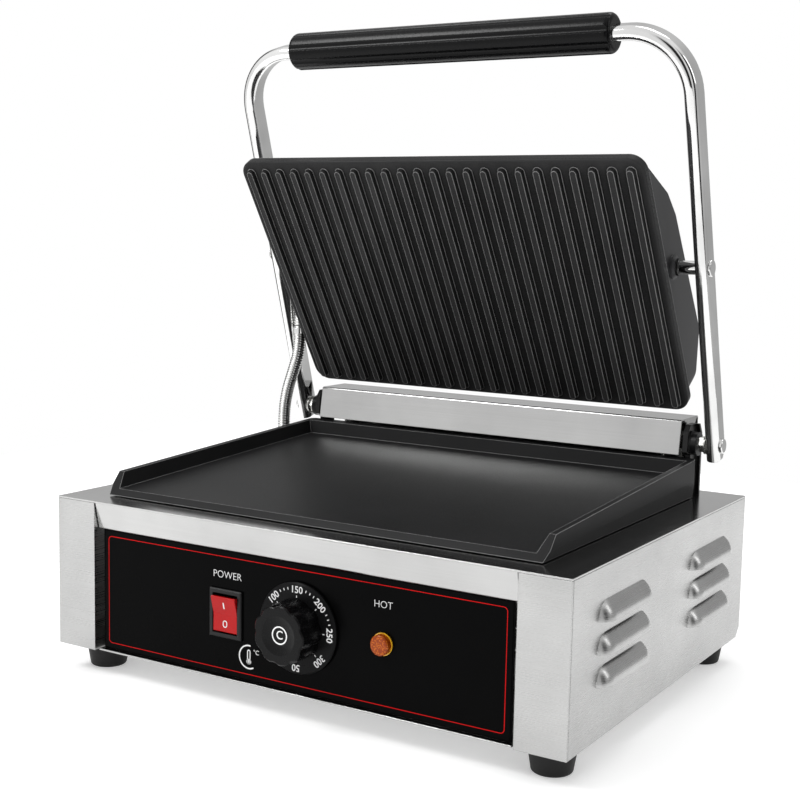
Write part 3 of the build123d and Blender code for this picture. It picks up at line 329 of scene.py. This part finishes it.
def ring_strip(bm, inner, outer, thickness):
    """A closed flat band between two outlines with the same count, standing up from z = 0."""
    count = len(inner)
    layers = []
    for height in (0.0, thickness):
        layers.append([[bm.verts.new((x, y, height)) for x, y in line] for line in (inner, outer)])
    (low_in, low_out), (top_in, top_out) = layers
    for i in range(count):
        j = (i + 1) % count
        bm.faces.new((top_in[i], top_in[j], top_out[j], top_out[i]))
        bm.faces.new((low_in[i], low_out[i], low_out[j], low_in[j]))
        bm.faces.new((low_out[i], top_out[i], top_out[j], low_out[j]))
        bm.faces.new((low_in[i], low_in[j], top_in[j], top_in[i]))


def circle(radius, count=48):
    angles = (2 * math.pi * i / count for i in range(count))
    return [(radius * math.cos(angle), radius * math.sin(angle)) for angle in angles]


def rounded_rectangle(half_w, half_h, radius, steps=6):
    points = []
    for cx, cy, start in ((1, 1, 0), (-1, 1, 90), (-1, -1, 180), (1, -1, 270)):
        for step in range(steps + 1):
            angle = math.radians(start + 90 * step / steps)
            points.append((cx * (half_w - radius) + radius * math.cos(angle),
                           cy * (half_h - radius) + radius * math.sin(angle)))
    return points


def facing(origin, out=Vector((0, -1, 0)), turn=0.0):
    """Local x across, y up, z out of a surface that faces the front."""
    across = Vector((1, 0, 0))
    up = out.cross(across)
    axes = Matrix((across, up, out)).transposed().to_4x4()
    return Matrix.Translation(origin) @ axes @ Matrix.Rotation(turn, 4, "Z")


CAP_HEIGHT_RATIO = 0.7                  # cap height of the built-in font over its size
PRINT_T = 0.0001                        # thickness of printing
THIN, BOLD = -0.00010, 0.00009          # stroke weights


def text_mesh(name, words, height, matrix, thickness=PRINT_T, weight=0.0):
    """Lettering as a mesh centred on the matrix's origin.

    height is the cap height, and weight thickens or thins the strokes.
    """
    curve = bpy.data.curves.new(name, "FONT")
    curve.body = words
    curve.align_x, curve.align_y = "CENTER", "CENTER"
    curve.size = height / CAP_HEIGHT_RATIO
    curve.extrude = thickness / 2
    curve.offset = weight
    curve.resolution_u = 4
    holder = bpy.data.objects.new(name, curve)
    bpy.context.collection.objects.link(holder)
    bpy.context.view_layer.update()
    mesh = bpy.data.meshes.new_from_object(holder)
    bpy.data.objects.remove(holder)
    mesh.transform(matrix)
    return mesh


def join_meshes(name, meshes):
    bm = bmesh.new()
    for mesh in meshes:
        bm.from_mesh(mesh)
    joined = bpy.data.meshes.new(name)
    bm.to_mesh(joined)
    bm.free()
    return joined


def flat_shape(name, matrix, build):
    """Mesh of what build(bm) makes flat on z = 0, placed by the matrix."""
    mesh = mesh_from(name, build)
    mesh.transform(matrix)
    return mesh


def flat_polygon(bm, outline, thickness=PRINT_T):
    """A closed flat plate on an outline, standing up from z = 0."""
    low = [bm.verts.new((x, y, 0.0)) for x, y in outline]
    top = [bm.verts.new((x, y, thickness)) for x, y in outline]
    bm.faces.new(low[::-1])
    bm.faces.new(top)
    for i in range(len(outline)):
        j = (i + 1) % len(outline)
        bm.faces.new((low[i], low[j], top[j], top[i]))


# --- printing on the panel, dial, knob and rocker -----------------------------------------------
PRINT_GAP = 0.00003                     # printing stands this clear of its surface
OUTLINE_INSET, OUTLINE_W, OUTLINE_T = 0.0036, 0.0005, 0.00008
LABEL_RISE = 0.0095                     # label centres above the switch housing's top
NUMBER_RADIUS, TICK_RADIUS, DASH_RADIUS = 0.0262, 0.0218, 0.0272


def panel_printing():
    low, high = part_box("panel_overlay")
    face_y = low[1] - PRINT_GAP
    middle = Vector(((low[0] + high[0]) / 2, face_y, (low[2] + high[2]) / 2))
    half_w = (high[0] - low[0]) / 2 - OUTLINE_INSET
    half_h = (high[2] - low[2]) / 2 - OUTLINE_INSET
    outline = flat_shape("outline", facing(middle), lambda bm: ring_strip(
        bm, rounded_rectangle(half_w - OUTLINE_W, half_h - OUTLINE_W, 0.0025),
        rounded_rectangle(half_w, half_h, 0.0030), OUTLINE_T))
    piece("panel_outline", outline, PRINT_RED, "base")

    switch_low, switch_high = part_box("switch_housing")
    lamp_low, lamp_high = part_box("lamp_lens")
    switch_x = (switch_low[0] + switch_high[0]) / 2
    lamp_x = (lamp_low[0] + lamp_high[0]) / 2
    label_z = switch_high[2] + LABEL_RISE
    power_spot = facing(Vector((switch_x + 0.0005, face_y, label_z)))
    hot_spot = facing(Vector((lamp_x, face_y, label_z)))
    words = [text_mesh("power", "POWER", 0.0050, power_spot, weight=THIN),
             text_mesh("hot", "HOT", 0.0047, hot_spot, weight=THIN)]
    dial_low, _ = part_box("dial_skirt")
    words += thermometer_marks(Vector((dial_low[0] - 0.0107, face_y, dial_low[2] + 0.0034)))
    lettering = join_meshes("panel_lettering", words)
    piece("panel_lettering", lettering, PRINT_WHITE, "base")


def arc_band(radius, width, start, end, steps=28):
    """Closed outline of a thin band along an arc between two angles in degrees."""
    outer, inner = [], []
    for step in range(steps + 1):
        angle = math.radians(start + (end - start) * step / steps)
        x, y = math.cos(angle), math.sin(angle)
        outer.append(((radius + width / 2) * x, (radius + width / 2) * y))
        inner.append(((radius - width / 2) * x, (radius - width / 2) * y))
    return outer + inner[::-1]


def thermometer_marks(centre):
    """Open ring with a small thermometer and a degree letter."""
    matrix = facing(centre)
    ring = flat_shape("ring", matrix, lambda bm: flat_polygon(
        bm, arc_band(0.0080, 0.0010, 80, 300)))
    bulb = flat_shape("bulb", matrix, lambda bm: flat_polygon(
        bm, [(x, y - 0.0032) for x, y in circle(0.0020, 20)]))
    stem = flat_shape("stem", matrix, lambda bm: ring_strip(
        bm, rounded_rectangle(0.0007, 0.0045, 0.0007, 3),
        rounded_rectangle(0.0014, 0.0052, 0.0014, 3), PRINT_T))
    letter = text_mesh("letter", "°C", 0.0031, facing(centre + Vector((0.0062, 0, 0.0040))))
    return [ring, bulb, stem, letter]


def on_dial(centre, angle, radius):
    """Place on the dial's face, in degrees clockwise from the top, foot towards the middle."""
    turn = math.radians(angle)
    return facing(centre + Vector((math.sin(turn), 0, math.cos(turn))) * radius, turn=-turn)


def dial_printing():
    low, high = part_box("dial_skirt")
    centre = Vector(((low[0] + high[0]) / 2, low[1] - PRINT_GAP, (low[2] + high[2]) / 2))
    numbers = {-45: "100", 0: "150", 45: "200", 90: "250", 135: "300", 180: "50"}
    marks = []
    for angle, word in numbers.items():
        spot = on_dial(centre, angle, NUMBER_RADIUS)
        marks.append(text_mesh(f"number_{word}", word, 0.0046, spot, weight=BOLD))
        marks.append(flat_shape("tick", on_dial(centre, angle, TICK_RADIUS), lambda bm: flat_polygon(
            bm, rounded_rectangle(0.00030, 0.0008, 0.0002, 2))))
    for gap_start in (-45, 0, 45):
        for offset in (16.0, 23.0, 30.0):
            spot = on_dial(centre, gap_start + offset, DASH_RADIUS)
            marks.append(flat_shape("dash", spot, lambda bm: flat_polygon(
                bm, rounded_rectangle(0.00032, 0.0009, 0.0003, 2))))
    piece("dial_numbers", join_meshes("dial_numbers", marks), PRINT_WHITE, "knob")

    knob_low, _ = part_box("thermostat_knob")
    cap = Vector((centre.x, knob_low[1] + 0.0021, centre.z))
    ring = flat_shape("cap_ring", facing(cap), lambda bm: ring_strip(
        bm, circle(0.0052), circle(0.0061), 0.0005))
    letter = text_mesh("cap_letter", "C", 0.0056, facing(cap), 0.0008)
    piece("knob_cap_mark", join_meshes("cap", [ring, letter]), PRINT_WHITE, "knob")


def rocker_marks():
    """I on the proud upper half and O on the pressed lower half."""
    low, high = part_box("switch_rocker")
    centre_x = (low[0] + high[0]) / 2
    upper = Vector((centre_x, low[1] + 0.00136, high[2] - 0.00613))
    lower = Vector((centre_x, low[1] + 0.00297, low[2] + 0.00605))
    upper_out = Vector((0, -0.967, -0.253)).normalized()
    lower_out = Vector((0, -1, 0.01)).normalized()
    bar = flat_shape("bar", facing(upper, upper_out), lambda bm: flat_polygon(
        bm, rounded_rectangle(0.0005, 0.0024, 0.0003, 2), 0.0002))
    ring = flat_shape("off", facing(lower, lower_out), lambda bm: ring_strip(
        bm, rounded_rectangle(0.0012, 0.0018, 0.0011),
        rounded_rectangle(0.0019, 0.0025, 0.0018), 0.0002))
    marks = join_meshes("rocker_marks", [bar, ring])
    piece("rocker_marks", marks, PRINT_WHITE, "rocker")


# --- wiring conduit: from the deck to the left arm's clip, and on into the housing's back ----------
LOWER_ROUTE = [(-0.1920, 0.1005, 0.1380), (-0.1924, 0.0997, 0.1600), (-0.1896, 0.1001, 0.1830),
               (-0.1830, 0.1011, 0.2030), (-0.1772, 0.1019, 0.2220), (-0.1769, 0.1011, 0.2420)]
UPPER_ROUTE = [(-0.1769, 0.1011, 0.2423), (-0.1766, 0.1004, 0.2590), (-0.1769, 0.1145, 0.2750),
               (-0.1746, 0.1426, 0.2923), (-0.1605, 0.1555, 0.2981), (-0.1440, 0.1542, 0.2945),
               (-0.1380, 0.1422, 0.2861)]
HOSE_R = 0.00525


def centre_line(name, route):
    """Points along the route's smooth curve."""
    curve = bpy.data.curves.new(name, "CURVE")
    curve.dimensions = "3D"
    curve.resolution_u = 24
    spline = curve.splines.new("NURBS")
    spline.points.add(len(route) - 1)    # a new spline has one point already
    for point, spot in zip(spline.points, route):
        point.co = (*spot, 1)
    spline.order_u = 3
    spline.use_endpoint_u = True
    holder = bpy.data.objects.new(name, curve)
    bpy.context.collection.objects.link(holder)
    bpy.context.view_layer.update()
    mesh = bpy.data.meshes.new_from_object(holder)
    points = [v.co.copy() for v in mesh.vertices]
    bpy.data.objects.remove(holder)
    return points


def evenly(points, spacing):
    """Resample a fine line at an even spacing."""
    lengths = [0.0]
    for a, b in zip(points, points[1:]):
        lengths.append(lengths[-1] + (b - a).length)
    count = max(2, round(lengths[-1] / spacing))
    result, k = [], 0
    for i in range(count + 1):
        target = lengths[-1] * i / count
        while k < len(points) - 2 and lengths[k + 1] < target:
            k += 1
        part = (target - lengths[k]) / max(lengths[k + 1] - lengths[k], 1e-9)
        result.append(points[k].lerp(points[k + 1], part))
    return result


def hose_mesh(name, route, radius, pitch=0.0022, depth=0.0006, around=24, per_turn=6):
    """Flexible metal conduit: rounded convolutions along the route."""
    line = evenly(centre_line(name, route), pitch / per_turn)
    normal = Vector((0, 1, 0.2)).normalized()
    bm = bmesh.new()
    rings = []
    for i, spot in enumerate(line):
        ahead = line[min(i + 1, len(line) - 1)] - line[max(i - 1, 0)]
        ahead.normalize()
        normal = (normal - ahead * normal.dot(ahead)).normalized()
        side = ahead.cross(normal)
        wave = abs(math.sin(math.pi * i / per_turn))
        r = radius - depth * (1 - wave ** 0.7)
        rings.append([bm.verts.new(spot + r * (math.cos(a) * normal + math.sin(a) * side))
                      for a in (2 * math.pi * k / around for k in range(around))])
    for low, high in zip(rings, rings[1:]):
        for k in range(around):
            j = (k + 1) % around
            face = bm.faces.new((low[k], low[j], high[j], high[k]))
            face.smooth = True
    bm.faces.new(rings[0][::-1])
    bm.faces.new(rings[-1])
    bmesh.ops.recalc_face_normals(bm, faces=bm.faces)
    mesh = bpy.data.meshes.new(name)
    bm.to_mesh(mesh)
    bm.free()
    return mesh


def conduits():
    lower_mesh = hose_mesh("lower_hose", LOWER_ROUTE, HOSE_R)
    lower = piece("conduit_lower_hose", lower_mesh, HOSE, None)
    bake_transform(lower)
    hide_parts("conduit_lower")
    upper_mesh = hose_mesh("upper_hose", UPPER_ROUTE, HOSE_R)
    upper = piece("conduit_upper_hose", upper_mesh, HOSE, None)
    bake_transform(upper)
    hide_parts("conduit_upper")


# --- stage and light --------------------------------------------------------------------------------
FLOOR_HALF = 0.95
FLOOR_GLOW = 0.34                       # keeps the floor near the white of the backdrop


def add_stage():
    def build(bm):
        corners = [(-1, -1), (1, -1), (1, 1), (-1, 1)]
        bm.faces.new([bm.verts.new((x * FLOOR_HALF, y * FLOOR_HALF, 0)) for x, y in corners])
    mesh = mesh_from("floor", build)
    floor = bpy.data.objects.new("floor", mesh)
    bpy.context.collection.objects.link(floor)
    mesh.materials.append(new_material("floor", (0.93, 0.93, 0.93), 0.0, 0.7,
                                       Specular_IOR_Level=0.1, Emission_Color=(1, 1, 1, 1),
                                       Emission_Strength=FLOOR_GLOW))


def area_light(name, at, towards, size, power, size_y=None):
    """Square light, or a rectangle if size_y is given, aimed at a point."""
    data = bpy.data.lights.new(name, "AREA")
    data.energy, data.size = power, size
    if size_y:
        data.shape, data.size_y = "RECTANGLE", size_y
    light = bpy.data.objects.new(name, data)
    light.location = at
    direction = Vector(towards) - Vector(at)
    light.rotation_euler = direction.to_track_quat("-Z", "Y").to_euler()
    bpy.context.collection.objects.link(light)


def ramp_node(nodes, stops):
    """Grey colour ramp through the (position, level) stops."""
    ramp = nodes.new("ShaderNodeValToRGB")
    for _ in stops[2:]:
        ramp.color_ramp.elements.new(0.5)
    for element, (position, level) in zip(ramp.color_ramp.elements, stops):
        element.position, element.color = position, (level, level, level, 1)
    return ramp


def add_world():
    """Plain white to the camera; reflections see a soft studio whose narrow dark flags give
    chrome its lines."""
    world = bpy.data.worlds.new("studio")
    bpy.context.scene.world = world
    world.use_nodes = True
    nodes, links = world.node_tree.nodes, world.node_tree.links
    coords = nodes.new("ShaderNodeTexCoord")
    round_about = nodes.new("ShaderNodeTexGradient")
    round_about.gradient_type = "RADIAL"
    links.new(coords.outputs["Generated"], round_about.inputs["Vector"])
    flags = ramp_node(nodes, [(0.0, 0.02), (0.02, 0.9), (0.06, 1.0), (0.25, 1.0), (0.285, 0.7),
                              (0.30, 0.02), (0.365, 0.02), (0.38, 0.9), (0.425, 0.9),
                              (0.44, 0.02), (0.49, 0.02), (0.505, 0.6), (0.60, 0.5),
                              (0.75, 0.48), (0.80, 0.55), (0.91, 0.6), (0.93, 0.02),
                              (1.0, 0.02)])
    links.new(round_about.outputs["Fac"], flags.inputs["Fac"])
    split = nodes.new("ShaderNodeSeparateXYZ")
    links.new(coords.outputs["Generated"], split.inputs["Vector"])
    overhead = ramp_node(nodes, [(0.55, 0.0), (0.80, 1.0)])
    links.new(split.outputs["Z"], overhead.inputs["Fac"])
    mix = nodes.new("ShaderNodeMixRGB")
    mix.inputs["Color2"].default_value = (0.95, 0.95, 0.95, 1)
    links.new(overhead.outputs["Color"], mix.inputs["Fac"])
    links.new(flags.outputs["Color"], mix.inputs["Color1"])
    seen = nodes.new("ShaderNodeLightPath")
    backdrop = nodes.new("ShaderNodeMixRGB")
    backdrop.inputs["Color2"].default_value = (1, 1, 1, 1)
    links.new(seen.outputs["Is Camera Ray"], backdrop.inputs["Fac"])
    links.new(mix.outputs["Color"], backdrop.inputs["Color1"])
    links.new(backdrop.outputs["Color"], nodes["Background"].inputs["Color"])
    nodes["Background"].inputs["Strength"].default_value = 1.0


def add_lights():
    area_light("key", (-1.2, -1.3, 1.9), (0, 0, 0.15), 0.7, 22)
    area_light("right", (1.9, 0.5, 1.2), (0, 0, 0.15), 0.4, 3.5, 1.2)
    area_light("back", (0.2, 1.0, 2.4), (0, 0, 0.2), 1.0, 10)
    bpy.context.scene.view_settings.view_transform = "Standard"


add_camera()
dress_nodes()
panel_printing()
dial_printing()
rocker_marks()
conduits()
add_stage()
add_world()
add_lights()
